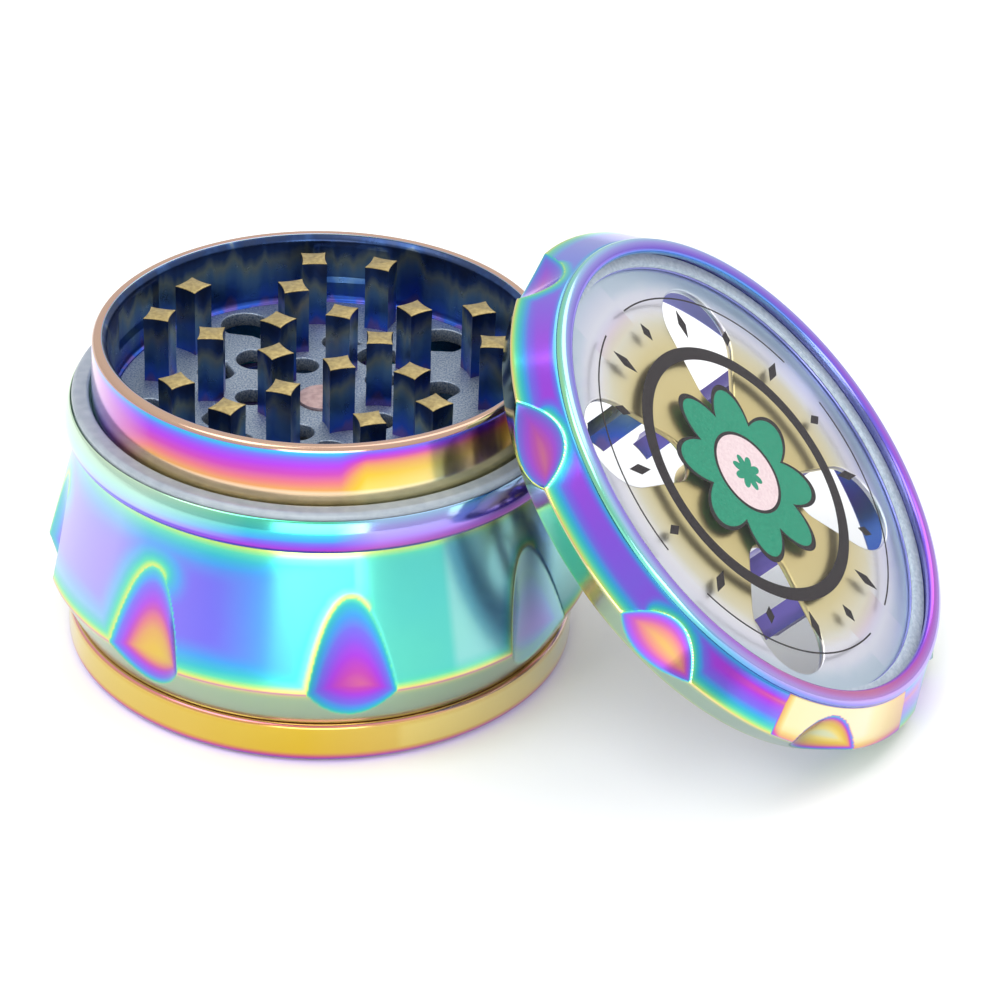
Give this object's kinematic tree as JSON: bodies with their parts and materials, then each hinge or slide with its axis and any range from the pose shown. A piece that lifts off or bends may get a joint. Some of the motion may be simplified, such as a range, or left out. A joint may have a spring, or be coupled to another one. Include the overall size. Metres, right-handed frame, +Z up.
{
  "type": "herb grinder",
  "caption": "Round metal herb grinder with a rainbow oxide finish, shown open, its windowed lid leaning on the toothed chamber.",
  "frame": {"origin": "centre of the underside of the catcher cup, on the grinder's axis", "axes": "+Z up along the grinder's axis, +X to the right towards the leaning lid, +Y away from the front"},
  "size_m": [0.0978, 0.0661, 0.0449],
  "materials": {
    "rainbow_pvd": "polished rainbow oxide coating on aluminium",
    "gold_pvd": "polished gold oxide coating",
    "bare_aluminium": "machined",
    "steel_mesh": "woven",
    "clear_nylon": "translucent grey",
    "dark_pvd": "dark blue oxide coating",
    "magnet_nickel": "nickel plated",
    "pale_seal": "pale silicone",
    "clear_window": "clear with a printed design",
    "satin_pvd": "satin gold and pale blue oxide coating"
  },
  "bodies": {
    "drum": {"drum_body": "rainbow_pvd"},
    "sieve": {"sieve_frame": "bare_aluminium", "sieve_mesh": "steel_mesh", "sieve_snap_ring": "steel_mesh"},
    "catcher": {"catcher_cup": "gold_pvd"},
    "ring": {"friction_ring": "clear_nylon"},
    "chamber": {"chamber_body": "dark_pvd", "chamber_teeth_outer": "dark_pvd", "chamber_teeth_middle": "dark_pvd", "chamber_teeth_inner": "dark_pvd", "chamber_magnet": "magnet_nickel"},
    "seal": {"window_seal": "pale_seal"},
    "lid": {"lid_window": "clear_window", "lid_bezel": "rainbow_pvd", "lid_body": "rainbow_pvd", "tooth_plate": "satin_pvd", "lid_teeth_outer": "dark_pvd", "lid_teeth_inner": "dark_pvd", "lid_magnet": "magnet_nickel"}
  },
  "joints": [
    {"name": "chamber_rise", "type": "slide", "parent": "drum", "child": "ring", "axis": [0, 0, 1], "range_m": [0, 0.0031]},
    {"name": "chamber_unscrew", "type": "hinge", "parent": "ring", "child": "chamber", "pos_m": [0, 0, 0.0286], "axis": [0, 0, 1], "range_deg": [0, 720]},
    {"name": "catcher_drop", "type": "slide", "parent": "drum", "child": "sieve", "axis": [0, 0, -1], "range_m": [0, 0.0031]},
    {"name": "catcher_unscrew", "type": "hinge", "parent": "sieve", "child": "catcher", "pos_m": [0, 0, 0.0046], "axis": [0, 0, -1], "range_deg": [0, 720]},
    {"name": "lid_tip", "type": "hinge", "parent": "ring", "child": "seal", "pos_m": [0.06678, -0.01342, 0.00252], "axis": [0.3223, 0.9466, 0], "range_deg": [0, 137]},
    {"name": "lid_spin", "type": "hinge", "parent": "seal", "child": "lid", "pos_m": [0.0466, -0.00655, 0.02584], "axis": [0.6456, -0.2198, 0.7314], "continuous": true}
  ],
  "couplings": [
    {"joint": "chamber_rise", "follows": "chamber_unscrew", "m_per_rad": 0.00023873},
    {"joint": "catcher_drop", "follows": "catcher_unscrew", "m_per_rad": 0.00023873}
  ]
}
